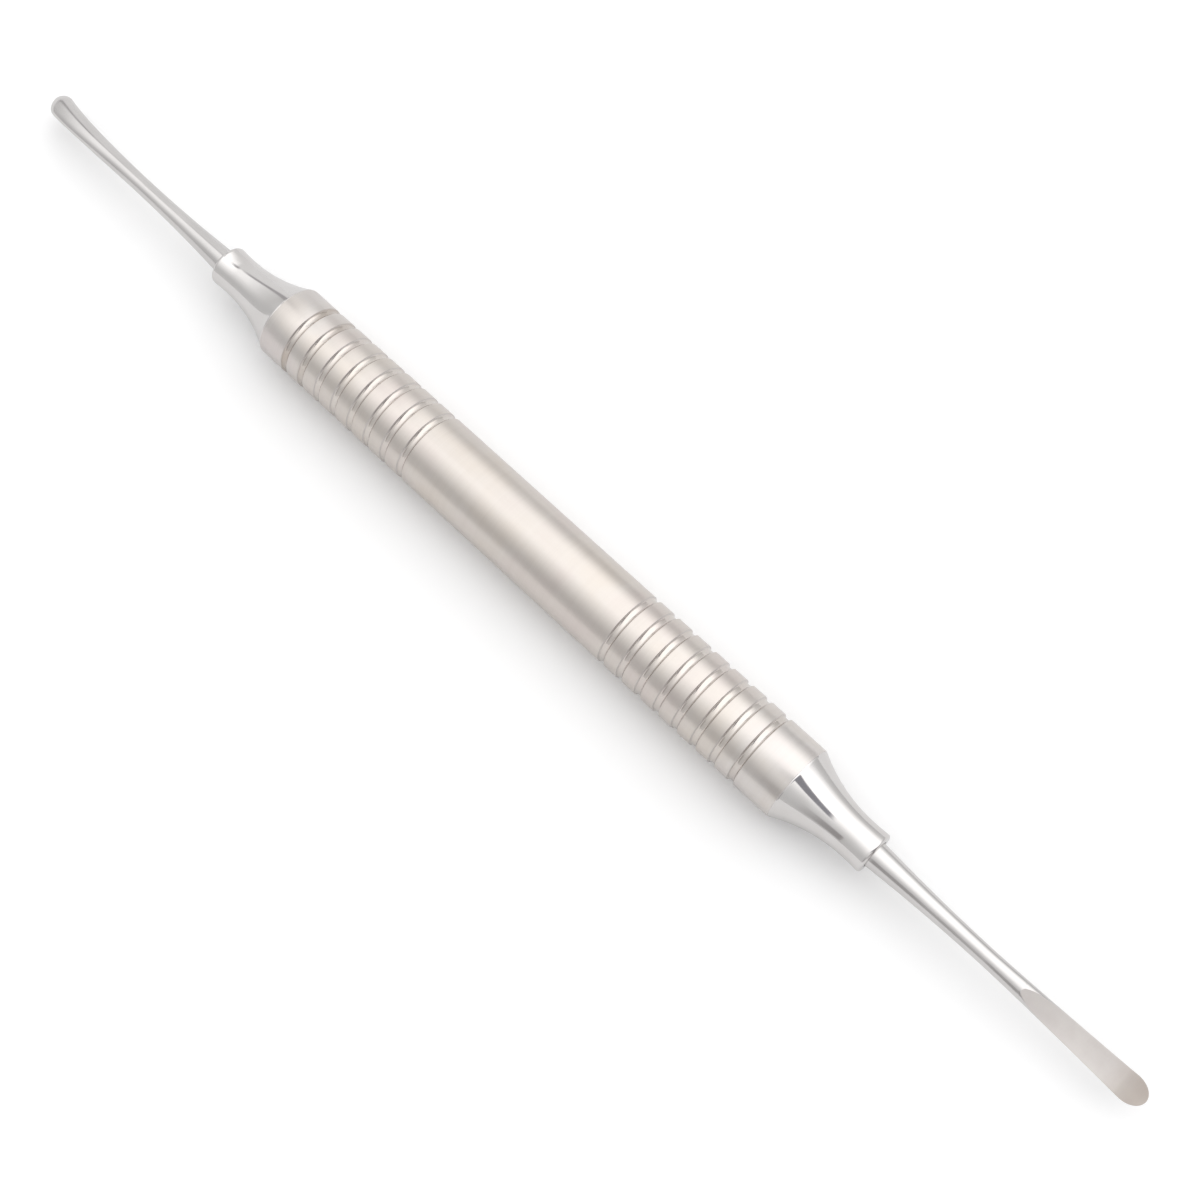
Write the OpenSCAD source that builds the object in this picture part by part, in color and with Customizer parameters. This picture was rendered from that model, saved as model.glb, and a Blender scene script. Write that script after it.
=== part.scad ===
// Double-ended dental elevator: a hollow handle with two groups of grip grooves, a trumpet-shaped
// cone in each end of it, and a forged working end in each cone. The handle lies along X, with
// the flat blade at +X and the spoon blade at -X, and +Z is up from the tray that it lies on.
// The origin is on the axis, midway between the two groups of grooves.

/* [Handle tube] */
// Outside diameter of the handle
handle_d = 9.5; // [8.5:0.1:11]
// Wall thickness of the handle tube
tube_wall = 1.0; // [0.8:0.05:1.4]
// Plain grip in the middle, between the centres of the two innermost grooves
plain_len = 32.4; // [20:0.2:45]
// Number of grooves in each group
groove_count = 8; // [3:1:10]
// Distance from one groove to the next
groove_pitch = 2.8; // [2:0.1:4]
// Width of a groove at the handle's surface
groove_w = 0.95; // [0.6:0.05:1.3]
// Depth of a groove
groove_depth = 0.27; // [0.15:0.01:0.4]
// From the outermost groove's centre to the tube's end, at the spoon blade
spoon_collar = 4.1; // [3:0.1:8]
// From the outermost groove's centre to the tube's end, at the flat blade
flat_collar = 5.5; // [3:0.1:8]
// Chamfer on the tube's outer end edges
tube_chamfer = 0.05; // [0.03:0.01:0.3]

/* [End cones] */
// Length of a cone that shows, from the tube's end to its nose
cone_len = 11.2; // [9:0.1:14]
// How far the cone's root is below the handle's surface
cone_step = 0.06; // [0.03:0.01:0.3]
// Length of the cone's straight root, next to the tube's end
land_len = 0.05; // [0.05:0.05:0.5]
// Rounding of the shoulder where the cone starts to narrow
shoulder_round = 0.3; // [0.2:0.1:2]
// Diameter of the nose at its end
nose_d = 5.2; // [4.4:0.1:6]
// How much the nose narrows behind its end, on the diameter
nose_relief = 0.14; // [0:0.02:0.3]
// Length of the nearly straight nose
nose_len = 2.4; // [1.5:0.1:4]
// Rounding of the nose's outer edge
nose_round = 0.35; // [0.2:0.05:0.7]
// Length of the spigot pressed into the tube
spigot_len = 9; // [5:0.5:14]
// Lead-in chamfer on the spigot
spigot_chamfer = 0.5; // [0.2:0.1:0.8]
// Gap left between the faces of each press fit
press_gap = 0.01; // [0.005:0.005:0.02]
// Diameter of the recess in the nose round the shank
mouth_d = 3.6; // [3.3:0.05:3.9]
// Depth of that recess
mouth_depth = 0.9; // [0.5:0.1:1.5]

/* [Working ends] */
// Diameter of the tang held in the cone
tang_d = 2.6; // [2:0.1:2.9]
// Length of the tang, from the bottom of the nose's recess inwards
tang_len = 14; // [8:0.5:17]
// Diameter of the shank where it leaves the nose
shank_root_d = 3.2; // [2.6:0.1:3.4]
// Diameter of the shank at its thinnest
shank_waist_d = 2.08; // [1.7:0.02:2.3]
// Thickness left at the very tip of each blade
tip_edge = 0.18; // [0.1:0.02:0.4]
// Length of the scoop in which the round shank runs down to the blade's face
scoop_len = 8; // [4:0.2:9]
// Width of the rim beside the hollow in each blade's face
rim_w = 0.14; // [0.06:0.02:0.3]

/* [Flat blade] */
// From the nose to the tip of the flat blade
flat_reach = 36.8; // [32:0.2:42]
// From the nose to the thinnest place of its shank
flat_waist_at = 16; // [13:0.5:17]
// From the nose to where the flat face starts
flat_face_at = 20.4; // [18:0.2:22]
// Length of the flat blade's rounded end
flat_tip_len = 2.2; // [1.4:0.1:3]
// Length of the bevel that thins the flat blade's face towards the tip
flat_bevel_len = 3; // [2:0.2:4]
// How far the face falls along that bevel
flat_bevel_drop = 0.3; // [0.1:0.02:0.4]
// Widest part of the flat blade
flat_w = 3.14; // [2.6:0.02:3.6]
// Depth of the flat blade's back behind its face, near the tip
flat_back = 0.62; // [0.5:0.02:0.9]
// Depth to which the flat blade's face is ground hollow
flat_hollow = 0.03; // [0.02:0.01:0.2]
// Turn of the flat blade about the handle's axis, away from facing straight up
flat_roll = 23; // [-40:1:40]
// Sideways set of the flat blade's tip
flat_set = -0.15; // [-1:0.05:1]
// Rise of the flat blade's tip
flat_lift = 0.2; // [-1:0.1:2]

/* [Spoon blade] */
// From the nose to the tip of the spoon blade
spoon_reach = 34.6; // [30:0.2:38]
// From the nose to the thinnest place of its shank
spoon_waist_at = 15.5; // [12:0.5:16]
// From the nose to where the spoon's face starts
spoon_face_at = 18.6; // [17:0.2:20]
// Length of the spoon blade's rounded end
spoon_tip_len = 2.1; // [1.5:0.1:2.8]
// Widest part of the spoon blade
spoon_w = 3.2; // [2.6:0.02:3.6]
// Depth of the spoon's back behind its rim, near the tip
spoon_back = 0.84; // [0.6:0.02:1.1]
// Depth of the hollow below the spoon's rim
spoon_hollow = 0.48; // [0.2:0.02:0.5]
// Turn of the spoon blade about the handle's axis, away from facing straight up
spoon_roll = 176; // [140:1:220]
// Sideways lean of the whole spoon end, in degrees
spoon_lean = 0.5; // [-3:0.1:3]
// Sideways set of the spoon blade's tip, on top of the lean
spoon_set = 1.3; // [-2:0.05:2]
// How far the spoon blade's tip bends down, towards the side that it faces
spoon_drop = 2.2; // [0:0.1:4]

/* [Hidden] */

// Sides of the turned shapes, and of the circle that is turned into a groove
turned_fn = 96;
groove_fn = 48;
// How far a cutter runs past the face that it cuts, and a joined solid into its neighbour
over = 0.5;

handle_r = handle_d / 2;
bore_r = handle_r - tube_wall;
groove_first = plain_len / 2;
groove_last = groove_first + (groove_count - 1) * groove_pitch;
spoon_tube_end = groove_last + spoon_collar;
flat_tube_end = groove_last + flat_collar;
// A groove is a circle of this radius, sunk groove_depth into the surface and groove_w wide there
groove_r = (groove_w * groove_w / 4 + groove_depth * groove_depth) / (2 * groove_depth);

nose_r = nose_d / 2;
nose_waist_r = nose_r - nose_relief / 2;
root_r = handle_r - cone_step;
spigot_r = bore_r - press_gap;
// The trumpet is one arc that leaves the nose along the axis. It meets the arc of the shoulder,
// which leaves the straight root along the axis, and both turn by the same angle.
trumpet_end = cone_len - nose_len;
trumpet_run = trumpet_end - land_len;
trumpet_rise = root_r - nose_waist_r;
both_arcs_r = (trumpet_run * trumpet_run + trumpet_rise * trumpet_rise) / (2 * trumpet_rise);
trumpet_r = both_arcs_r - shoulder_round;
trumpet_turn = asin(trumpet_run / both_arcs_r);
trumpet_steps = 14;
round_steps = 5;

tang_r = tang_d / 2;
tang_chamfer = 0.3;
// The blind hole for the tang is this much longer than the tang
tang_hole_spare = 1;

shank_root_r = shank_root_d / 2;
shank_waist_r = shank_waist_d / 2;
// How the scoop runs out, as a power
scoop_power = 2;
// The last ring of the tip is this share of the blade's width
tip_end_share = 0.03;
ring_points = 32;
shank_rings = 10;
blade_rings = 20;
tip_rings = 9;

// How late each blade widens, as a power: 1 is at a steady rate from the thinnest place
flat_widen = 1.45;
spoon_widen = 1.7;
// How late its set and its lift come on, as a power: 1 is at a steady rate from the nose
flat_bend = 2.2;
spoon_bend = 8;
// What each blade is, in the order of these names
REACH = 0;
WAIST_AT = 1;
FACE_AT = 2;
TIP_LEN = 3;
WIDTH = 4;
WIDEN = 5;
BACK = 6;
HOLLOW = 7;
BEVEL_LEN = 8;
BEVEL_DROP = 9;
ROLL = 10;
LEAN = 11;
SET = 12;
LIFT = 13;
BEND = 14;
flat_blade = [
    flat_reach, flat_waist_at, flat_face_at, flat_tip_len, flat_w, flat_widen, flat_back,
    flat_hollow, flat_bevel_len, flat_bevel_drop, flat_roll, 0, flat_set, flat_lift, flat_bend
];
spoon_blade = [
    spoon_reach, spoon_waist_at, spoon_face_at, spoon_tip_len, spoon_w, spoon_widen, spoon_back,
    spoon_hollow, spoon_tip_len, 0, spoon_roll, spoon_lean, spoon_set, -spoon_drop, spoon_bend
];

// ---------------------------------------------------------------- handle tube

module groove_cutter(at) {
    rotate_extrude($fn = turned_fn)
        translate([handle_r - groove_depth + groove_r, at])
            circle(r = groove_r, $fn = groove_fn);
}

module tube_blank() {
    rotate_extrude($fn = turned_fn)
        polygon([
            [bore_r, -spoon_tube_end],
            [handle_r - tube_chamfer, -spoon_tube_end],
            [handle_r, -spoon_tube_end + tube_chamfer],
            [handle_r, flat_tube_end - tube_chamfer],
            [handle_r - tube_chamfer, flat_tube_end],
            [bore_r, flat_tube_end],
        ]);
}

module handle_tube() {
    color("silver") rotate([0, 90, 0]) difference() {
        tube_blank();
        for (side = [-1, 1])
            for (i = [0 : groove_count - 1])
                groove_cutter(side * (groove_first + i * groove_pitch));
    }
}

// ---------------------------------------------------------------- end cones

// Outline of a cone as [radius, distance out from the tube's end]; its spigot is below zero
shoulder_line = [
    for (i = [0 : round_steps - 1])
        let (turn = trumpet_turn * i / round_steps)
        [root_r - shoulder_round * (1 - cos(turn)), land_len + shoulder_round * sin(turn)]
];
trumpet_line = [
    for (i = [0 : trumpet_steps])
        let (turn = trumpet_turn * (1 - i / trumpet_steps))
        [nose_waist_r + trumpet_r * (1 - cos(turn)), trumpet_end - trumpet_r * sin(turn)]
];
nose_line = [
    for (i = [0 : round_steps])
        let (turn = 90 * i / round_steps)
        [nose_r - nose_round * (1 - cos(turn)), cone_len - nose_round * (1 - sin(turn))]
];
spigot_line = [
    [0, -spigot_len],
    [spigot_r - spigot_chamfer, -spigot_len],
    [spigot_r, -spigot_len + spigot_chamfer],
    [spigot_r, 0],
    [root_r, 0],
];
cone_line = concat(spigot_line, shoulder_line, trumpet_line, nose_line, [[0, cone_len]]);

module end_cone() {
    mouth_at = cone_len - mouth_depth;
    hole_len = tang_len + tang_hole_spare;
    rotate([0, 90, 0]) difference() {
        rotate_extrude($fn = turned_fn) polygon(cone_line);
        translate([0, 0, mouth_at])
            cylinder(d = mouth_d, h = mouth_depth + over, $fn = turned_fn);
        translate([0, 0, mouth_at - hole_len])
            cylinder(r = tang_r + press_gap, h = hole_len + over, $fn = turned_fn);
    }
}

module spoon_end_cone() {
    color("gainsboro") mirror([1, 0, 0]) translate([spoon_tube_end, 0, 0]) end_cone();
}

module flat_end_cone() {
    color("gainsboro") translate([flat_tube_end, 0, 0]) end_cone();
}

// ---------------------------------------------------------------- working ends
// In these functions s is the distance out from the nose, along the handle's axis.

// Share of the way through a stretch of this length, from 0 before it to 1 after it
function share_of(s, start, length) = max(0, min(1, (s - start) / length));

// Share of the way from the shank's thinnest place to the start of the rounded tip
function blade_share(s, blade) =
    share_of(s, blade[WAIST_AT], blade[REACH] - blade[TIP_LEN] - blade[WAIST_AT]);

// What the rounded tip leaves of the width: 1 up to its start, and nothing at its end
function tip_share(s, blade) =
    let (into_tip = share_of(s, blade[REACH] - blade[TIP_LEN], blade[TIP_LEN]))
    max(tip_end_share, sqrt(1 - into_tip * into_tip));

// How far the face has fallen along the bevel
function bevel_fall(s, blade) =
    blade[BEVEL_DROP] * share_of(s, blade[REACH] - blade[BEVEL_LEN], blade[BEVEL_LEN]);

// Radius of the shank as far as its thinnest place
function shank_r(s, blade) =
    shank_waist_r
    + (shank_root_r - shank_waist_r) * pow(1 - share_of(s, 0, blade[WAIST_AT]), 2);

// Half of the width, before the tip is rounded
function half_width(s, blade) =
    shank_r(s, blade)
    + (blade[WIDTH] / 2 - shank_waist_r) * pow(blade_share(s, blade), blade[WIDEN]);

// Depth of the back behind the face's plane
function back_depth(s, blade) =
    let (
        share = blade_share(s, blade),
        full = shank_r(s, blade) * (1 - share) + blade[BACK] * share - bevel_fall(s, blade)
    )
    tip_edge + (full - tip_edge) * tip_share(s, blade);

// Height of the ground front over the face's plane, as a share of the back's depth
function front_share(s, blade) = pow(1 - share_of(s, blade[FACE_AT], scoop_len), scoop_power);

// Depth of the hollow at y from the middle of the face; it runs out at the rim and at the tip
function hollow_depth(s, y, blade) =
    let (
        reach_in = 1 - front_share(s, blade),
        half = max(over, half_width(s, blade) - rim_w) * tip_share(s, blade)
    )
    blade[HOLLOW] * reach_in * tip_share(s, blade) * max(0, 1 - pow(y / half, 2));

// Ring of points round the working end, turned to where the blade faces and then set aside
function ring(s, blade) =
    let (
        half = half_width(s, blade) * tip_share(s, blade),
        back = back_depth(s, blade),
        fall = bevel_fall(s, blade),
        roll = blade[ROLL],
        aside = max(0, s) * tan(blade[LEAN]),
        bend = pow(max(0, s) / blade[REACH], blade[BEND])
    )
    [
        for (i = [0 : ring_points - 1])
            let (
                turn = 360 * i / ring_points,
                front = cos(turn) > 0,
                y = half * sin(turn),
                z = back * (front ? min(cos(turn), front_share(s, blade)) : cos(turn))
                    - (front ? hollow_depth(s, y, blade) : 0) - fall
            )
            [
                s,
                y * cos(roll) - z * sin(roll) + aside + blade[SET] * bend,
                y * sin(roll) + z * cos(roll) + blade[LIFT] * bend
            ]
    ];

// The places of the rings, from the bottom of the nose's recess to the tip
function ring_places(blade) =
    let (
        waist_at = blade[WAIST_AT],
        tip_len = blade[TIP_LEN],
        tip_at = blade[REACH] - tip_len
    )
    concat(
        [for (i = [0 : shank_rings - 1]) -mouth_depth + (waist_at + mouth_depth) * i / shank_rings],
        [for (i = [0 : blade_rings - 1]) waist_at + (tip_at - waist_at) * i / blade_rings],
        [for (i = [0 : tip_rings]) tip_at + tip_len * sin(90 * i / tip_rings)]
    );

// Skin through the rings, with a flat fan over the first ring and over the last
module shank_and_blade(blade) {
    places = ring_places(blade);
    last_start = (len(places) - 1) * ring_points;
    points = [for (s = places) each ring(s, blade)];
    sides = [
        for (k = [0 : len(places) - 2], i = [0 : ring_points - 1])
            let (
                j = (i + 1) % ring_points,
                here = k * ring_points,
                next = here + ring_points
            )
            each [[here + i, here + j, next + j], [here + i, next + j, next + i]]
    ];
    first_fan = [for (i = [1 : ring_points - 2]) [0, i + 1, i]];
    last_fan = [for (i = [1 : ring_points - 2]) [last_start, last_start + i, last_start + i + 1]];
    polyhedron(points = points, faces = concat(first_fan, sides, last_fan), convexity = 4);
}

module tang() {
    translate([-mouth_depth - tang_len, 0, 0]) rotate([0, 90, 0]) {
        cylinder(r1 = tang_r - tang_chamfer, r2 = tang_r, h = tang_chamfer, $fn = turned_fn);
        translate([0, 0, tang_chamfer])
            cylinder(r = tang_r, h = tang_len - tang_chamfer + over, $fn = turned_fn);
    }
}

module working_end(blade) {
    tang();
    shank_and_blade(blade);
}

module spoon_working_end() {
    color("whitesmoke") mirror([1, 0, 0]) translate([spoon_tube_end + cone_len, 0, 0])
        working_end(spoon_blade);
}

module flat_working_end() {
    color("whitesmoke") translate([flat_tube_end + cone_len, 0, 0]) working_end(flat_blade);
}

handle_tube();
spoon_end_cone();
flat_end_cone();
spoon_working_end();
flat_working_end();
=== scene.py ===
"""Looks of the double-ended dental elevator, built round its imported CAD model.

The handle lies along X on the floor, the flat blade at +X and the spoon blade at -X. Sizes are
in metres, in the CAD model's frame; MM turns a size in millimetres into one.
"""

import math

import bmesh
import bpy
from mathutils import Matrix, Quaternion, Vector


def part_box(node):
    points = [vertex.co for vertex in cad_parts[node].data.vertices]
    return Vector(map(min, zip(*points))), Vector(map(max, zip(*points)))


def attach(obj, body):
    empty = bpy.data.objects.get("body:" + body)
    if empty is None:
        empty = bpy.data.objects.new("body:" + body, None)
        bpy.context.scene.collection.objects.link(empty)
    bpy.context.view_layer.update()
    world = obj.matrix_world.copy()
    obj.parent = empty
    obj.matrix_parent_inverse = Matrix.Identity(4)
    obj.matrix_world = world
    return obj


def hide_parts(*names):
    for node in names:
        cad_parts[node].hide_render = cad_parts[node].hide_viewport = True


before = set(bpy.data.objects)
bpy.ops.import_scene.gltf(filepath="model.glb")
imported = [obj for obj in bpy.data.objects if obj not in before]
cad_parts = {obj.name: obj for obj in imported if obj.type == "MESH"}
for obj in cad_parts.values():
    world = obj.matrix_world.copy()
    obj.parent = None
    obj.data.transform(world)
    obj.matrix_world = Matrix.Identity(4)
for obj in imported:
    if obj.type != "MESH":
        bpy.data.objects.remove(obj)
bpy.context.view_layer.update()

MM = 0.001

# ------------------------------------------------------------------ sizes

TUBE_LOW, TUBE_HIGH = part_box("handle_tube")
HANDLE_R = TUBE_HIGH.z
SPOON_TUBE_END = -TUBE_LOW.x
FLAT_TUBE_END = TUBE_HIGH.x
FLAT_CONE_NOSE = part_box("flat_end_cone")[1].x
CONE_LEN = FLAT_CONE_NOSE - FLAT_TUBE_END
SPOON_REACH = -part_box("spoon_working_end")[0].x - SPOON_TUBE_END - CONE_LEN
TIP_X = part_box("flat_working_end")[1].x
FLAT_REACH = TIP_X - FLAT_CONE_NOSE

TUBE_WALL = 1.0 * MM
TUBE_CHAMFER = 0.05 * MM
GROOVE_COUNT = 8
GROOVE_PITCH = 2.8 * MM
GROOVE_FIRST = 16.2 * MM
GROOVE_LAST = GROOVE_FIRST + (GROOVE_COUNT - 1) * GROOVE_PITCH
GROOVE_W = 0.95 * MM
GROOVE_DEPTH = 0.27 * MM

BORE_R = HANDLE_R - TUBE_WALL
PRESS_GAP = 0.01 * MM
SPIGOT_LEN = 9 * MM
SPIGOT_CHAMFER = 0.5 * MM
CONE_STEP = 0.06 * MM
CONE_ROOT_R = HANDLE_R - CONE_STEP
LAND_LEN = 0.05 * MM
SHOULDER_ROUND = 0.3 * MM
NOSE_R = 2.6 * MM
NOSE_BEAD = 0.07 * MM
NOSE_WAIST_R = NOSE_R - NOSE_BEAD
NOSE_LEN = 2.4 * MM
NOSE_ROUND = 0.35 * MM
MOUTH_R = 1.8 * MM
MOUTH_DEPTH = 0.9 * MM
MOUTH_LIP = 0.06 * MM

TANG_R = 1.3 * MM
TANG_LEN = 14 * MM
TANG_HOLE_SPARE = 1 * MM
TANG_CHAMFER = 0.3 * MM
SHANK_ROOT_R = 1.6 * MM
SHANK_WAIST_R = 1.04 * MM
TIP_EDGE = 0.18 * MM
SCOOP_LEN = 8 * MM
RIM_W = 0.14 * MM
LEAST_SCOOP_HALF = 0.5 * MM

# Along each working end, from its cone's nose: where the shank is thinnest, where the face starts
# and how the blade widens ("widen" and "bend" are powers). "set" and "lift" move the tip aside and
# up, "lean" slants the whole end, and "roll" turns it about the handle's axis.
FLAT_BLADE = {
    "reach": FLAT_REACH, "waist_at": 16.0 * MM, "face_at": 20.4 * MM, "tip_len": 2.2 * MM,
    "width": 3.14 * MM, "widen": 1.45, "back": 0.62 * MM, "hollow": 0.03 * MM,
    "bevel_len": 3.0 * MM, "bevel_drop": 0.3 * MM, "roll": math.radians(23),
    "lean": 0.0, "set": -0.15 * MM, "lift": 0.2 * MM, "bend": 2.2,
}
SPOON_BLADE = {
    "reach": SPOON_REACH, "waist_at": 15.5 * MM, "face_at": 18.6 * MM, "tip_len": 2.1 * MM,
    "width": 3.2 * MM, "widen": 1.7, "back": 0.84 * MM, "hollow": 0.48 * MM,
    "bevel_len": 2.1 * MM, "bevel_drop": 0.0, "roll": math.radians(176),
    "lean": math.radians(0.5), "set": 1.3 * MM, "lift": -2.2 * MM, "bend": 8,
}

# How finely the pieces are meshed
TURNED_SIDES = 192
GROOVE_STEPS = 22
SHOULDER_STEPS = 14
TRUMPET_STEPS = 60
FLARE_STEPS = 12
NOSE_STEPS = 8
SHANK_STEPS = 36
BLADE_STEPS = 110
TIP_STEPS = 24
FACE_POINTS = 40
ROUND_POINTS = 80
SHARP_ANGLE = math.radians(35)


# ------------------------------------------------------------------ camera and light

# The photograph's viewpoint, 68 degrees above the floor
CAMERA_PLACE = (0.06945, -0.05931, 0.20769)
CAMERA_FORWARD = (-0.26050, 0.26658, -0.92794)
CAMERA_ROLL = math.radians(0.112)
LENS_MM = 60
SENSOR_MM = 36
NEAREST_SEEN = 0.01


def make_camera():
    data = bpy.data.cameras.new("camera")
    data.lens = LENS_MM
    data.sensor_width = SENSOR_MM
    data.clip_start = NEAREST_SEEN
    camera = bpy.data.objects.new("camera", data)
    camera.location = CAMERA_PLACE
    aim = Vector(CAMERA_FORWARD).to_track_quat("-Z", "Y") @ Quaternion((0, 0, 1), CAMERA_ROLL)
    camera.rotation_euler = aim.to_euler()
    bpy.context.scene.collection.objects.link(camera)
    bpy.context.scene.camera = camera


def add_node(tree, kind, inputs=(), **settings):
    """A node with its settings, and its inputs set to numbers or linked to sockets."""
    node = tree.nodes.new(kind)
    for name, value in settings.items():
        setattr(node, name, value)
    for name, value in dict(inputs).items():
        if isinstance(value, bpy.types.NodeSocket):
            tree.links.new(value, node.inputs[name])
        else:
            node.inputs[name].default_value = value
    return node


def math_node(tree, operation, first, second=0.0, clamp=False):
    node = add_node(tree, "ShaderNodeMath", {0: first, 1: second}, operation=operation)
    node.use_clamp = clamp
    return node.outputs[0]


def ramp_node(tree, factor, stops):
    """A colour ramp; stops are (place, (r, g, b)) or (place, grey)."""
    node = add_node(tree, "ShaderNodeValToRGB", {"Fac": factor})
    ramp = node.color_ramp
    while len(ramp.elements) < len(stops):
        ramp.elements.new(0.5)
    for element, (place, colour) in zip(ramp.elements, stops):
        element.position = place
        rgb = colour if isinstance(colour, tuple) else (colour,) * 3
        element.color = (*rgb, 1)
    return node.outputs["Color"]


def mix_colour(tree, factor, first, second, blend="MIX"):
    node = add_node(tree, "ShaderNodeMix", data_type="RGBA", blend_type=blend)
    for socket, value in ((node.inputs[0], factor), (node.inputs[6], first),
                          (node.inputs[7], second)):
        if isinstance(value, bpy.types.NodeSocket):
            tree.links.new(value, socket)
        else:
            socket.default_value = (*value, 1) if isinstance(value, tuple) else value
    return node.outputs[2]


def camera_ray_mix(tree, for_camera, otherwise):
    """One value for what the camera sees of a surface, and another for the light from it."""
    is_camera = add_node(tree, "ShaderNodeLightPath").outputs["Is Camera Ray"]
    return mix_colour(tree, is_camera, otherwise, for_camera)


def dot_product(tree, first, second):
    return add_node(tree, "ShaderNodeVectorMath", {0: first, 1: second},
                    operation="DOT_PRODUCT").outputs["Value"]


def absolute(tree, value):
    return math_node(tree, "ABSOLUTE", value)


def distance_from(tree, value, middle):
    return absolute(tree, math_node(tree, "SUBTRACT", value, middle))


def smooth_step(tree, value, start, end):
    """0 before start, 1 past end, smooth between; start may be the larger of the two."""
    return add_node(tree, "ShaderNodeMapRange", {
        "Value": value, "From Min": start, "From Max": end, "To Min": 0.0, "To Max": 1.0,
    }, interpolation_type="SMOOTHSTEP").outputs[0]


def spread(tree, value, low, high, at_low, at_high):
    """A value that goes evenly from at_low to at_high while the given one goes low to high."""
    return add_node(tree, "ShaderNodeMapRange", {
        "Value": value, "From Min": low, "From Max": high, "To Min": at_low, "To Max": at_high,
    }).outputs[0]


def product(tree, first, *others):
    for other in others:
        first = math_node(tree, "MULTIPLY", first, other)
    return first


# The tent's cloth and what breaks it, in linear colours; axes and normals are unit directions
LOW_CLOTH = (0.62, 0.62, 0.62)
FAR_CLOTH = (0.84, 0.84, 0.84)
SEAM_COLOUR = (0.46, 0.45, 0.46)
SEAM_AXIS = (-0.824, -0.406, 0.396)
SEAM_AT = 0.678
WIDE_GAP_COLOUR = (0.30, 0.30, 0.33)
WIDE_GAP_NORMAL = (0.377, -0.829, -0.414)
WIDE_GAP_HALF = 0.125
WIDE_GAP_EDGE = 0.03
LOW_GAP_COLOUR = (0.36, 0.35, 0.35)
END_GAP_COLOUR = (0.24, 0.22, 0.22)


def tent_glow(tree, x, across):
    """The cloth's glow: strongest overhead, a little different over each half of the handle."""
    left_glow = ramp_node(tree, across, [
        (0.02, 0.67), (0.09, 0.61), (0.16, 0.64), (0.23, 0.82), (0.29, 1.05), (0.35, 1.25),
        (0.41, 1.45), (0.47, 1.53), (0.54, 1.57), (0.70, 1.58), (0.76, 1.38), (0.84, 1.00),
        (0.88, 0.80), (0.97, 0.74),
    ])
    right_glow = ramp_node(tree, across, [
        (0.02, 0.63), (0.10, 0.62), (0.16, 0.66), (0.23, 0.73), (0.29, 0.84), (0.35, 1.03),
        (0.41, 1.28), (0.47, 1.46), (0.54, 1.53), (0.72, 1.55), (0.77, 1.38), (0.84, 1.00),
        (0.88, 0.76), (0.93, 0.66), (1.00, 0.60),
    ])
    glow = mix_colour(tree, smooth_step(tree, x, -0.30, -0.10), left_glow, right_glow)

    # Towards the end at -X the glow sinks to the level of the low cloth
    x_from_0_to_1 = spread(tree, x, -1.0, 1.0, 0.0, 1.0)
    left_end = ramp_node(tree, x_from_0_to_1, [
        (0.02, 0.08), (0.07, 0.25), (0.155, 0.56), (0.235, 0.68), (0.27, 0.92), (0.30, 1.00),
    ])
    return mix_colour(tree, left_end, LOW_CLOTH, glow)


def add_far_cloth(tree, x, direction, tent):
    """The cloth that hangs at -X, beyond a seam that lies on a circle round SEAM_AXIS."""
    off_axis = dot_product(tree, direction, SEAM_AXIS)
    beyond = product(tree, smooth_step(tree, off_axis, SEAM_AT + 0.01, SEAM_AT - 0.01),
                     smooth_step(tree, x, -0.46, -0.50))
    near = product(tree, smooth_step(tree, off_axis, 0.74, 0.30),
                   smooth_step(tree, x, -0.36, -0.48), 0.9)
    tent = mix_colour(tree, math_node(tree, "MAXIMUM", beyond, near), tent, FAR_CLOTH)

    # The seam shows in its high part and once more, for a short way, lower down
    high_part = smooth_step(tree, x, -0.53, -0.68)
    low_part = product(tree, smooth_step(tree, x, -0.44, -0.47),
                       smooth_step(tree, x, -0.54, -0.51))
    off_seam = distance_from(tree, off_axis, SEAM_AT)
    seam = product(tree, smooth_step(tree, off_seam, 0.06, 0.025),
                   math_node(tree, "MAXIMUM", high_part, low_part))
    return mix_colour(tree, seam, tent, SEAM_COLOUR)


def add_gaps(tree, x, across, direction, tent):
    """The dark gaps: a wide slanted one, one low down at -Y, and the open end at +X."""
    off_wide_gap = absolute(tree, dot_product(tree, direction, WIDE_GAP_NORMAL))
    wide_gap = product(
        tree, smooth_step(tree, off_wide_gap, WIDE_GAP_HALF + WIDE_GAP_EDGE, WIDE_GAP_HALF),
        smooth_step(tree, x, 0.20, 0.30))
    low_gap = product(tree, smooth_step(tree, across, 0.21, 0.16),
                      smooth_step(tree, across, 0.02, 0.05), smooth_step(tree, x, 0.00, 0.015),
                      smooth_step(tree, x, 0.62, 0.12))
    end_gap = smooth_step(tree, x, 0.83, 0.91)
    tent = mix_colour(tree, wide_gap, tent, WIDE_GAP_COLOUR)
    tent = mix_colour(tree, low_gap, tent, LOW_GAP_COLOUR)
    return mix_colour(tree, end_gap, tent, END_GAP_COLOUR)


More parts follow.
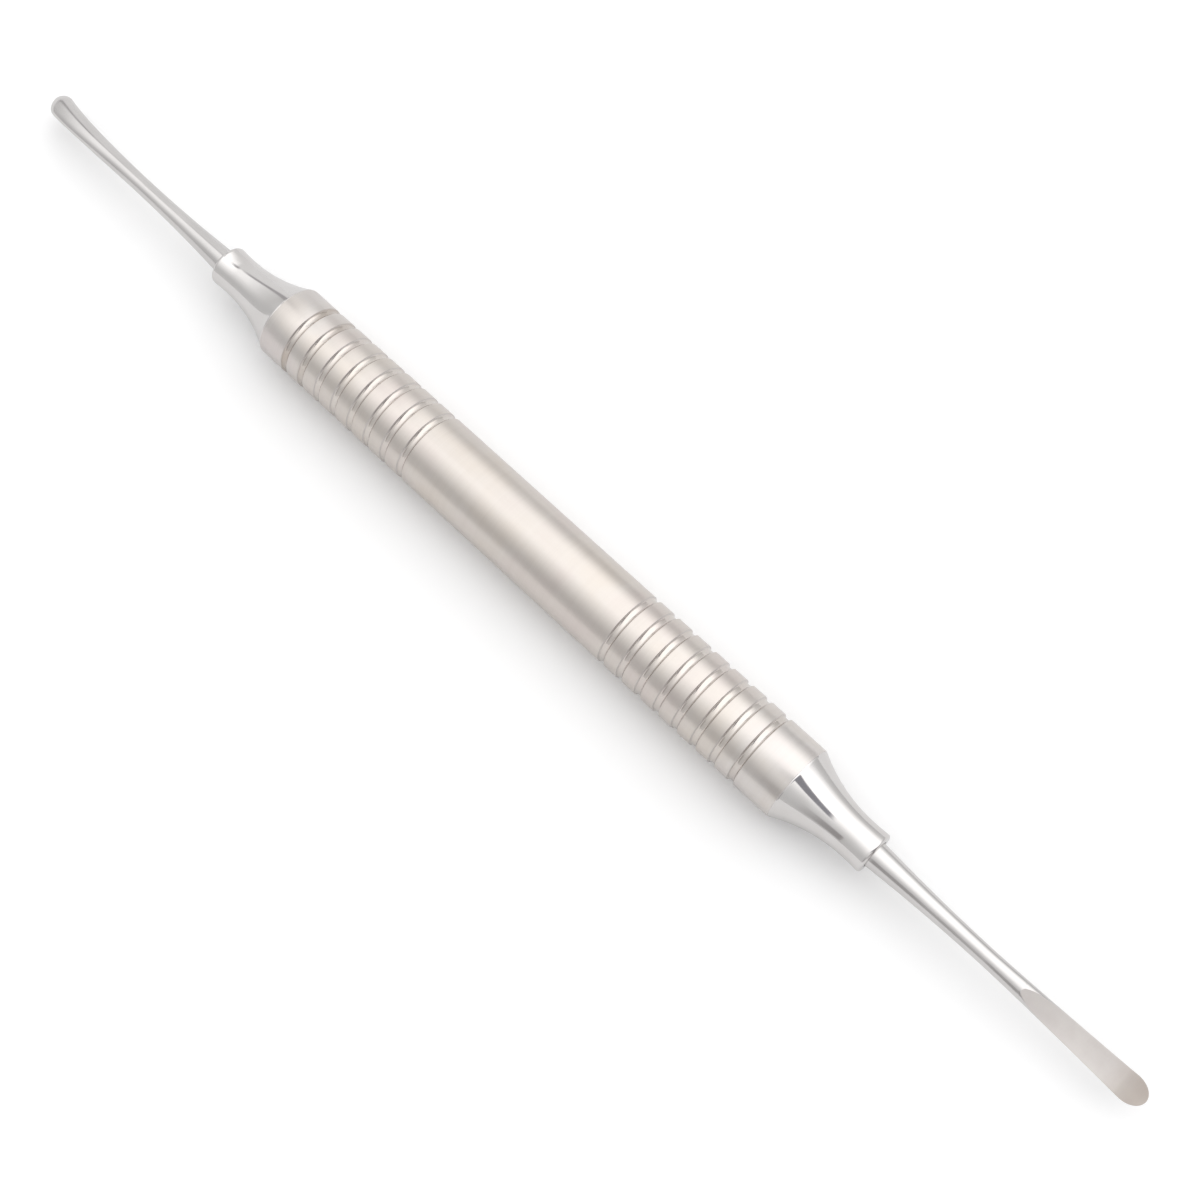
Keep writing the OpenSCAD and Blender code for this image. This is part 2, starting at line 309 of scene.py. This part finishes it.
def make_world():
    """A white light tent: darker low down and at its ends, with a seam and a few dark gaps."""
    world = bpy.data.worlds.new("light_tent")
    bpy.context.scene.world = world
    world.use_nodes = True
    tree = world.node_tree
    background = tree.nodes["Background"]
    direction = add_node(tree, "ShaderNodeTexCoord").outputs["Generated"]
    split = add_node(tree, "ShaderNodeSeparateXYZ", {"Vector": direction})
    x, y, z = (split.outputs[axis] for axis in "XYZ")

    # Across the handle: 0 is the horizon at -Y, 0.5 is overhead, 1 is the horizon at +Y
    angle = math_node(tree, "ARCTAN2", y, z)
    across = math_node(tree, "ADD", math_node(tree, "DIVIDE", angle, math.pi), 0.5)
    tent = tent_glow(tree, x, across)
    tent = add_far_cloth(tree, x, direction, tent)
    tent = add_gaps(tree, x, across, direction, tent)
    tree.links.new(camera_ray_mix(tree, (1.0, 1.0, 1.0), tent), background.inputs["Color"])
    background.inputs["Strength"].default_value = 1.0


FLOOR_HALF = 3.0
PAPER_SEEN = (1.05, 1.05, 1.05)
PAPER_LIT = (0.84, 0.84, 0.84)


def make_floor():
    """White paper, a little brighter to the camera than the light that it gives back."""
    bottom = TUBE_LOW.z
    mesh = bpy.data.meshes.new("floor")
    corners = [(-FLOOR_HALF, -FLOOR_HALF, bottom), (FLOOR_HALF, -FLOOR_HALF, bottom),
               (FLOOR_HALF, FLOOR_HALF, bottom), (-FLOOR_HALF, FLOOR_HALF, bottom)]
    mesh.from_pydata(corners, [], [(0, 1, 2, 3)])
    floor = bpy.data.objects.new("floor", mesh)
    bpy.context.scene.collection.objects.link(floor)
    material = bpy.data.materials.new("white_paper")
    material.use_nodes = True
    tree = material.node_tree
    shader = tree.nodes["Principled BSDF"]
    tree.links.new(camera_ray_mix(tree, PAPER_SEEN, PAPER_LIT), shader.inputs["Base Color"])
    shader.inputs["Roughness"].default_value = 0.9
    shader.inputs["Specular IOR Level"].default_value = 0.1
    mesh.materials.append(material)


# ------------------------------------------------------------------ materials

def metal(name, colour, roughness, anisotropic=0.0):
    """A bare metal, in one colour and roughness until others are linked over them.

    Returns the material, its node tree, its shader, and the place of a point in the frame.
    """
    material = bpy.data.materials.new(name)
    material.use_nodes = True
    tree = material.node_tree
    shader = tree.nodes["Principled BSDF"]
    shader.inputs["Base Color"].default_value = (*colour, 1)
    shader.inputs["Metallic"].default_value = 1.0
    shader.inputs["Roughness"].default_value = roughness
    shader.inputs["Anisotropic"].default_value = anisotropic
    place = add_node(tree, "ShaderNodeTexCoord").outputs["Object"]
    return material, tree, shader, place


def streaks(tree, place, lengthwise, crosswise, detail=4.0):
    """Noise with so many waves a metre along X, and so many across it."""
    counts = (lengthwise, crosswise, crosswise)
    stretched = add_node(tree, "ShaderNodeVectorMath", {0: place, 1: counts},
                         operation="MULTIPLY").outputs[0]
    return add_node(tree, "ShaderNodeTexNoise",
                    {"Vector": stretched, "Scale": 1.0, "Detail": detail}).outputs["Fac"]


def add_bump(tree, shader, height, strength, distance):
    bump = add_node(tree, "ShaderNodeBump",
                    {"Height": height, "Strength": strength, "Distance": distance})
    tree.links.new(bump.outputs["Normal"], shader.inputs["Normal"])


def groove_walls(tree, x):
    """1 on the grooves' walls, 0 on their floors and beside them."""
    from_middle = absolute(tree, x)
    from_first = math_node(tree, "SUBTRACT", from_middle, GROOVE_FIRST)
    from_groove = math_node(tree, "PINGPONG", from_first, GROOVE_PITCH / 2)
    off_wall = distance_from(tree, from_groove, 0.47 * GROOVE_W)
    edge = 0.6 * GROOVE_W
    past_first = smooth_step(tree, from_middle, GROOVE_FIRST - GROOVE_W, GROOVE_FIRST - edge)
    before_last = smooth_step(tree, from_middle, GROOVE_LAST + GROOVE_W, GROOVE_LAST + edge)
    return product(tree, smooth_step(tree, off_wall, 0.10 * MM, 0.03 * MM), past_first, before_last)


# The direction across the handle in which its two flanks lie, and how brown each groove is
FLANKS = (0, 0.961, 0.276)
BROWNED_GROOVES = ((-GROOVE_LAST, 0.8), (-GROOVE_LAST + GROOVE_PITCH, 0.5), (GROOVE_LAST, 0.3))


def brazing_tint(tree, place, x, in_groove, patches):
    """How far the heat of brazing browned the outermost grooves, most of it on their flanks."""
    off_middle = absolute(tree, dot_product(tree, place, FLANKS))
    flank = smooth_step(tree, off_middle, 0.20 * HANDLE_R, 0.75 * HANDLE_R)
    browned = 0.0
    for centre, amount in BROWNED_GROOVES:
        here = math_node(tree, "LESS_THAN", distance_from(tree, x, centre), GROOVE_W)
        browned = math_node(tree, "MAXIMUM", browned, math_node(tree, "MULTIPLY", here, amount))
    strength = math_node(tree, "ADD", math_node(tree, "MULTIPLY", flank, 0.6), 0.2)
    tint = product(tree, browned, in_groove, strength, math_node(tree, "ADD", 0.5, patches))
    return math_node(tree, "MINIMUM", tint, 1.0)


def satin_steel():
    """The handle: brushed round its axis, polished in the grooves, with painted shade on their
    walls, browned in the last ones.
    """
    material, tree, shader, place = metal("satin_steel", (0.71, 0.66, 0.615), 0.3, 0.75)
    tangent = add_node(tree, "ShaderNodeCombineXYZ", {"X": 1.0}).outputs[0]
    tree.links.new(tangent, shader.inputs["Tangent"])
    x = add_node(tree, "ShaderNodeSeparateXYZ", {"Vector": place}).outputs["X"]
    radial = add_node(tree, "ShaderNodeVectorMath", {0: place, 1: (0, 1, 1)},
                      operation="MULTIPLY").outputs[0]
    radius = add_node(tree, "ShaderNodeVectorMath", {0: radial}, operation="LENGTH")
    depth = math_node(tree, "SUBTRACT", HANDLE_R, radius.outputs["Value"])
    in_groove = math_node(tree, "DIVIDE", depth, 0.5 * GROOVE_DEPTH, clamp=True)

    fine = streaks(tree, place, 9000, 160)
    coarse = streaks(tree, place, 1400, 60, 2.0)
    drawn = streaks(tree, place, 70, 1500, 3.0)
    patches = streaks(tree, place, 120, 180, 3.0)
    tone = mix_colour(tree, 0.35, mix_colour(tree, 0.5, fine, drawn), coarse)
    base = ramp_node(tree, tone, [
        (0.30, (0.680, 0.630, 0.586)), (0.50, (0.715, 0.665, 0.62)),
        (0.70, (0.745, 0.697, 0.656)),
    ])
    warm = ramp_node(tree, patches, [
        (0.35, (1.0, 0.985, 0.965)), (0.50, (1.0, 1.0, 1.0)), (0.68, (0.985, 0.965, 0.975)),
    ])
    base = mix_colour(tree, 1.0, base, warm, "MULTIPLY")
    at_end = smooth_step(tree, absolute(tree, x), 30 * MM, 38 * MM)
    bluer = mix_colour(tree, 1.0, base, (1.03, 1.05, 1.08), "MULTIPLY")
    base = mix_colour(tree, at_end, base, bluer)
    # Painted shade: the grooves' walls get a darker colour that stands in for the dark lying in
    # them; the same mask also makes them rougher
    wall = groove_walls(tree, x)
    base = mix_colour(tree, wall, base, (0.66, 0.62, 0.595))
    tint = brazing_tint(tree, place, x, in_groove, patches)
    base = mix_colour(tree, tint, base, (0.50, 0.43, 0.37))
    tree.links.new(base, shader.inputs["Base Color"])

    rough = spread(tree, tone, 0.25, 0.75, 0.28, 0.36)
    for share, roughness in ((in_groove, 0.16), (wall, 0.34)):
        rough = add_node(tree, "ShaderNodeMix", {0: share, 2: rough, 3: roughness},
                         data_type="FLOAT").outputs[0]
    tree.links.new(rough, shader.inputs["Roughness"])
    add_bump(tree, shader, fine, 0.2, 0.004 * MM)
    return material


def polished_cone_steel():
    """The cones: mirror polish, with the faint turning marks that polish leaves."""
    material, tree, shader, place = metal("polished_cone_steel", (0.74, 0.715, 0.70), 0.08)
    marks = streaks(tree, place, 5000, 90)
    smears = streaks(tree, place, 260, 320, 3.0)
    tree.links.new(spread(tree, smears, 0.3, 0.7, 0.05, 0.12), shader.inputs["Roughness"])
    base = ramp_node(tree, smears, [
        (0.3, (0.72, 0.695, 0.68)), (0.7, (0.765, 0.745, 0.735)),
    ])
    tree.links.new(base, shader.inputs["Base Color"])
    add_bump(tree, shader, marks, 0.12, 0.003 * MM)
    return material


def polished_shank_steel():
    """The shanks and the spoon: polished along their length by hand."""
    material, tree, shader, place = metal("polished_shank_steel", (0.70, 0.68, 0.67), 0.12)
    drawn = streaks(tree, place, 140, 6000)
    smears = streaks(tree, place, 300, 500, 3.0)
    tree.links.new(spread(tree, smears, 0.3, 0.7, 0.12, 0.19), shader.inputs["Roughness"])
    base = ramp_node(tree, smears, [
        (0.3, (0.68, 0.66, 0.65)), (0.7, (0.72, 0.70, 0.69)),
    ])
    tree.links.new(base, shader.inputs["Base Color"])
    add_bump(tree, shader, drawn, 0.15, 0.003 * MM)
    return material


def ground_face_steel():
    """The flat blade's face: a fine matt grind across the blade, painted a darker brown towards the
    tip as painted shade of its tilted bevel.
    """
    material, tree, shader, place = metal("ground_face_steel", (0.68, 0.63, 0.60), 0.42)
    grind = streaks(tree, place, 7000, 700)
    patches = streaks(tree, place, 500, 500, 3.0)
    base = ramp_node(tree, patches, [
        (0.3, (0.69, 0.645, 0.62)), (0.55, (0.72, 0.68, 0.655)), (0.75, (0.74, 0.705, 0.67)),
    ])
    x = add_node(tree, "ShaderNodeSeparateXYZ", {"Vector": place}).outputs["X"]
    # Painted shade: the last millimetres of the face are painted darker and a little brown, for the
    # shade on the tilted bevel at the tip
    at_tip = smooth_step(tree, x, TIP_X - 5.5 * MM, TIP_X - 1.0 * MM)
    shaded_tip_colour = mix_colour(tree, 1.0, base, (0.84, 0.80, 0.76), "MULTIPLY")
    base = mix_colour(tree, at_tip, base, shaded_tip_colour)
    tree.links.new(base, shader.inputs["Base Color"])
    tree.links.new(spread(tree, grind, 0.3, 0.7, 0.36, 0.48), shader.inputs["Roughness"])
    add_bump(tree, shader, grind, 0.35, 0.006 * MM)
    return material


# ------------------------------------------------------------------ turned pieces

def finish_piece(name, bm, material_list):
    """The piece that a bmesh makes, smooth but for its sharp edges; it rides on the one body."""
    bmesh.ops.remove_doubles(bm, verts=bm.verts, dist=1e-8)
    bmesh.ops.recalc_face_normals(bm, faces=bm.faces)
    mesh = bpy.data.meshes.new(name)
    bm.to_mesh(mesh)
    bm.free()
    mesh.shade_smooth()
    mesh.set_sharp_from_angle(angle=SHARP_ANGLE)
    for material in material_list:
        mesh.materials.append(material)
    piece = bpy.data.objects.new(name, mesh)
    bpy.context.scene.collection.objects.link(piece)
    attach(piece, "root")
    return piece


def turn(outline, closed):
    """A bmesh turned about X from an outline of (x, radius). An open one ends on the axis."""
    bm = bmesh.new()
    rings = []
    for x, radius in outline:
        if radius < 1e-9:
            rings.append([bm.verts.new((x, 0, 0))] * TURNED_SIDES)
            continue
        rings.append([
            bm.verts.new((x, radius * math.sin(math.tau * i / TURNED_SIDES),
                          radius * math.cos(math.tau * i / TURNED_SIDES)))
            for i in range(TURNED_SIDES)
        ])
    pairs = list(zip(rings, rings[1:]))
    if closed:
        pairs.append((rings[-1], rings[0]))
    for first, second in pairs:
        for i in range(TURNED_SIDES):
            j = (i + 1) % TURNED_SIDES
            corners = [first[i], first[j], second[j], second[i]]
            corners = [v for k, v in enumerate(corners) if v is not corners[k - 1]]
            bm.faces.new(corners)
    return bm


# In half widths of a groove: how far its outline runs to each side, and how wide it fades out
GROOVE_SPREAD = 1.16
GROOVE_FADE = 0.10
GROOVE_SOFTNESS = 0.10


def groove_outline(centre):
    """Points (x, radius) across one groove: steep walls, a nearly flat floor, soft edges."""
    points = []
    for i in range(GROOVE_STEPS + 1):
        share = GROOVE_SPREAD * (2 * i / GROOVE_STEPS - 1)
        floor = 1 - abs(share) ** 4
        depth = 0.5 * (floor + math.hypot(floor, GROOVE_SOFTNESS))
        fade = max(0.0, min(1.0, (GROOVE_SPREAD - abs(share)) / GROOVE_FADE))
        points.append((centre + share * GROOVE_W / 2, HANDLE_R - GROOVE_DEPTH * depth * fade))
    return points


def handle_tube(material):
    grooves = [side * (GROOVE_FIRST + i * GROOVE_PITCH)
               for side in (-1, 1) for i in range(GROOVE_COUNT)]
    # The chamfer bulges a little: its middle point lies outside the straight line
    bulge = 0.3 * TUBE_CHAMFER
    outline = [(-SPOON_TUBE_END, BORE_R), (-SPOON_TUBE_END, HANDLE_R - TUBE_CHAMFER),
               (-SPOON_TUBE_END + bulge, HANDLE_R - bulge),
               (-SPOON_TUBE_END + TUBE_CHAMFER, HANDLE_R)]
    for centre in sorted(grooves):
        outline += groove_outline(centre)
    outline += [(FLAT_TUBE_END - TUBE_CHAMFER, HANDLE_R),
                (FLAT_TUBE_END - bulge, HANDLE_R - bulge),
                (FLAT_TUBE_END, HANDLE_R - TUBE_CHAMFER), (FLAT_TUBE_END, BORE_R)]
    piece = finish_piece("grooved_handle_tube", turn(outline, closed=True), [material])
    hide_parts("handle_tube")


def cone_outline():
    """(x, radius) of a cone from the spigot's end round to the bottom of the tang's hole."""
    spigot_r = BORE_R - PRESS_GAP
    points = [(-SPIGOT_LEN, 0), (-SPIGOT_LEN, spigot_r - SPIGOT_CHAMFER),
              (-SPIGOT_LEN + SPIGOT_CHAMFER, spigot_r), (0, spigot_r)]
    # The shoulder and the trumpet are two arcs that meet, and both turn by the same angle
    trumpet_end = CONE_LEN - NOSE_LEN
    run = trumpet_end - LAND_LEN
    rise = CONE_ROOT_R - NOSE_WAIST_R
    both_arcs_r = (run * run + rise * rise) / (2 * rise)
    arc_r = both_arcs_r - SHOULDER_ROUND
    full_turn = math.asin(run / both_arcs_r)
    points.append((0, CONE_ROOT_R))
    for i in range(SHOULDER_STEPS):
        angle = full_turn * i / SHOULDER_STEPS
        points.append((LAND_LEN + SHOULDER_ROUND * math.sin(angle),
                       CONE_ROOT_R - SHOULDER_ROUND * (1 - math.cos(angle))))
    for i in range(TRUMPET_STEPS + 1):
        angle = full_turn * (1 - i / TRUMPET_STEPS)
        points.append((trumpet_end - arc_r * math.sin(angle),
                       NOSE_WAIST_R + arc_r * (1 - math.cos(angle))))
    flare_len = NOSE_LEN - NOSE_ROUND
    for i in range(1, FLARE_STEPS + 1):
        share = i / FLARE_STEPS
        points.append((trumpet_end + flare_len * share, NOSE_WAIST_R + NOSE_BEAD * share ** 2))
    for i in range(1, NOSE_STEPS + 1):
        angle = math.radians(90 * i / NOSE_STEPS)
        points.append((CONE_LEN - NOSE_ROUND * (1 - math.sin(angle)),
                       NOSE_R - NOSE_ROUND * (1 - math.cos(angle))))
    bottom = CONE_LEN - MOUTH_DEPTH
    hole_r = TANG_R + PRESS_GAP
    hole_end = bottom - TANG_LEN - TANG_HOLE_SPARE
    points += [(CONE_LEN, MOUTH_R + MOUTH_LIP), (CONE_LEN - MOUTH_LIP, MOUTH_R),
               (bottom, MOUTH_R), (bottom, hole_r), (hole_end, hole_r), (hole_end, 0)]
    return points


def end_cone(name, node, side, tube_end, material):
    outline = [(side * (tube_end + x), radius) for x, radius in cone_outline()]
    piece = finish_piece(name, turn(outline, closed=False), [material])
    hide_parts(node)


# ------------------------------------------------------------------ working ends

# In these functions s is the distance along the handle from the cone's nose towards the tip

# The narrowest that the tip's last ring gets, as a share of the blade's width there
TIP_FLOOR = 0.03


def share_of(s, start, length):
    return max(0.0, min(1.0, (s - start) / length))


def blade_share(s, blade):
    return share_of(s, blade["waist_at"], blade["reach"] - blade["tip_len"] - blade["waist_at"])


def tip_share(s, blade):
    into_tip = share_of(s, blade["reach"] - blade["tip_len"], blade["tip_len"])
    return math.sqrt(max(0.0, 1 - into_tip ** 2))


def bevel_fall(s, blade):
    """How far the face has fallen along the bevel at the tip."""
    start = blade["reach"] - blade["bevel_len"]
    return blade["bevel_drop"] * share_of(s, start, blade["bevel_len"])


def shank_r(s, blade):
    spare = SHANK_ROOT_R - SHANK_WAIST_R
    return SHANK_WAIST_R + spare * (1 - share_of(s, 0, blade["waist_at"])) ** 2


def half_width(s, blade):
    spare = blade["width"] / 2 - SHANK_WAIST_R
    return shank_r(s, blade) + spare * blade_share(s, blade) ** blade["widen"]


def back_depth(s, blade):
    share = blade_share(s, blade)
    full = shank_r(s, blade) * (1 - share) + blade["back"] * share - bevel_fall(s, blade)
    return TIP_EDGE + (full - TIP_EDGE) * tip_share(s, blade)


def blade_ring(s, blade):
    """Points (x, y, z) round the working end: the face's first, then the round back's."""
    tip = max(TIP_FLOOR, tip_share(s, blade))
    half = half_width(s, blade) * tip
    back = back_depth(s, blade)
    fall = bevel_fall(s, blade)
    ground = 1 - (1 - share_of(s, blade["face_at"], SCOOP_LEN)) ** 2
    height = 1 - ground
    cut = math.acos(height)
    hollow_half = max(LEAST_SCOOP_HALF, half_width(s, blade) - RIM_W) * tip
    points = []
    for i in range(FACE_POINTS + 1):
        y = half * math.sin(cut) * (2 * i / FACE_POINTS - 1)
        hollow = max(0.0, 1 - (y / hollow_half) ** 2) * blade["hollow"] * ground * tip
        points.append((y, back * height - hollow - fall))
    for i in range(1, ROUND_POINTS):
        angle = cut + (math.tau - 2 * cut) * i / ROUND_POINTS
        points.append((half * math.sin(angle), back * math.cos(angle) - fall))
    out = max(0.0, s)
    bend = (out / blade["reach"]) ** blade["bend"]
    aside = out * math.tan(blade["lean"]) + blade["set"] * bend
    rise = blade["lift"] * bend
    cos_roll, sin_roll = math.cos(blade["roll"]), math.sin(blade["roll"])
    return [(s, y * cos_roll - z * sin_roll + aside, y * sin_roll + z * cos_roll + rise)
            for y, z in points]


def blade_places(blade):
    """The rings' places along the working end, closer together towards the tip."""
    tip_len = blade["tip_len"]
    waist_at, tip_at = blade["waist_at"], blade["reach"] - tip_len
    shank = [-MOUTH_DEPTH + (waist_at + MOUTH_DEPTH) * i / SHANK_STEPS for i in range(SHANK_STEPS)]
    body = [waist_at + (tip_at - waist_at) * i / BLADE_STEPS for i in range(BLADE_STEPS)]
    tip = [tip_at + tip_len * math.sin(math.radians(90) * i / TIP_STEPS)
           for i in range(TIP_STEPS + 1)]
    return shank + body + tip


def working_end(name, node, side, nose_at, blade, body_material, face_material):
    """Tang, shank and blade in one mesh, with a material of its own on the blade's face."""
    bm = bmesh.new()
    count = FACE_POINTS + ROUND_POINTS

    def circle(s, radius):
        """A ring of the tang, with its points where the shank's first ring has them."""
        first = blade_ring(-MOUTH_DEPTH, blade)
        return [(s, y * radius / SHANK_ROOT_R, z * radius / SHANK_ROOT_R) for _, y, z in first]

    tang_end = -MOUTH_DEPTH - TANG_LEN
    rows = [circle(tang_end, TANG_R - TANG_CHAMFER), circle(tang_end + TANG_CHAMFER, TANG_R),
            circle(-MOUTH_DEPTH, TANG_R)]
    tang_rows = len(rows)
    rows += [blade_ring(s, blade) for s in blade_places(blade)]
    rings = [[bm.verts.new((side * (nose_at + x), y, z)) for x, y, z in row] for row in rows]
    for k, (here, after) in enumerate(zip(rings, rings[1:])):
        in_blade = k >= tang_rows and rows[k + 1][0][0] > blade["face_at"]
        for i in range(count):
            j = (i + 1) % count
            face = bm.faces.new([here[i], here[j], after[j], after[i]])
            face.material_index = 1 if in_blade and i < FACE_POINTS else 0
    bm.faces.new(list(reversed(rings[0])))
    bm.faces.new(rings[-1])
    piece = finish_piece(name, bm, [body_material, face_material])
    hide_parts(node)


# ------------------------------------------------------------------ the scene

make_camera()
make_world()
make_floor()

SATIN = satin_steel()
POLISHED_CONE = polished_cone_steel()
POLISHED_SHANK = polished_shank_steel()
GROUND_FACE = ground_face_steel()

handle_tube(SATIN)
end_cone("spoon_end_trumpet_cone", "spoon_end_cone", -1, SPOON_TUBE_END, POLISHED_CONE)
end_cone("flat_end_trumpet_cone", "flat_end_cone", 1, FLAT_TUBE_END, POLISHED_CONE)
working_end("spoon_blade_and_shank", "spoon_working_end", -1, SPOON_TUBE_END + CONE_LEN,
            SPOON_BLADE, POLISHED_SHANK, POLISHED_SHANK)
working_end("flat_blade_and_shank", "flat_working_end", 1, FLAT_TUBE_END + CONE_LEN,
            FLAT_BLADE, POLISHED_SHANK, GROUND_FACE)

bpy.context.scene.view_settings.view_transform = "Standard"
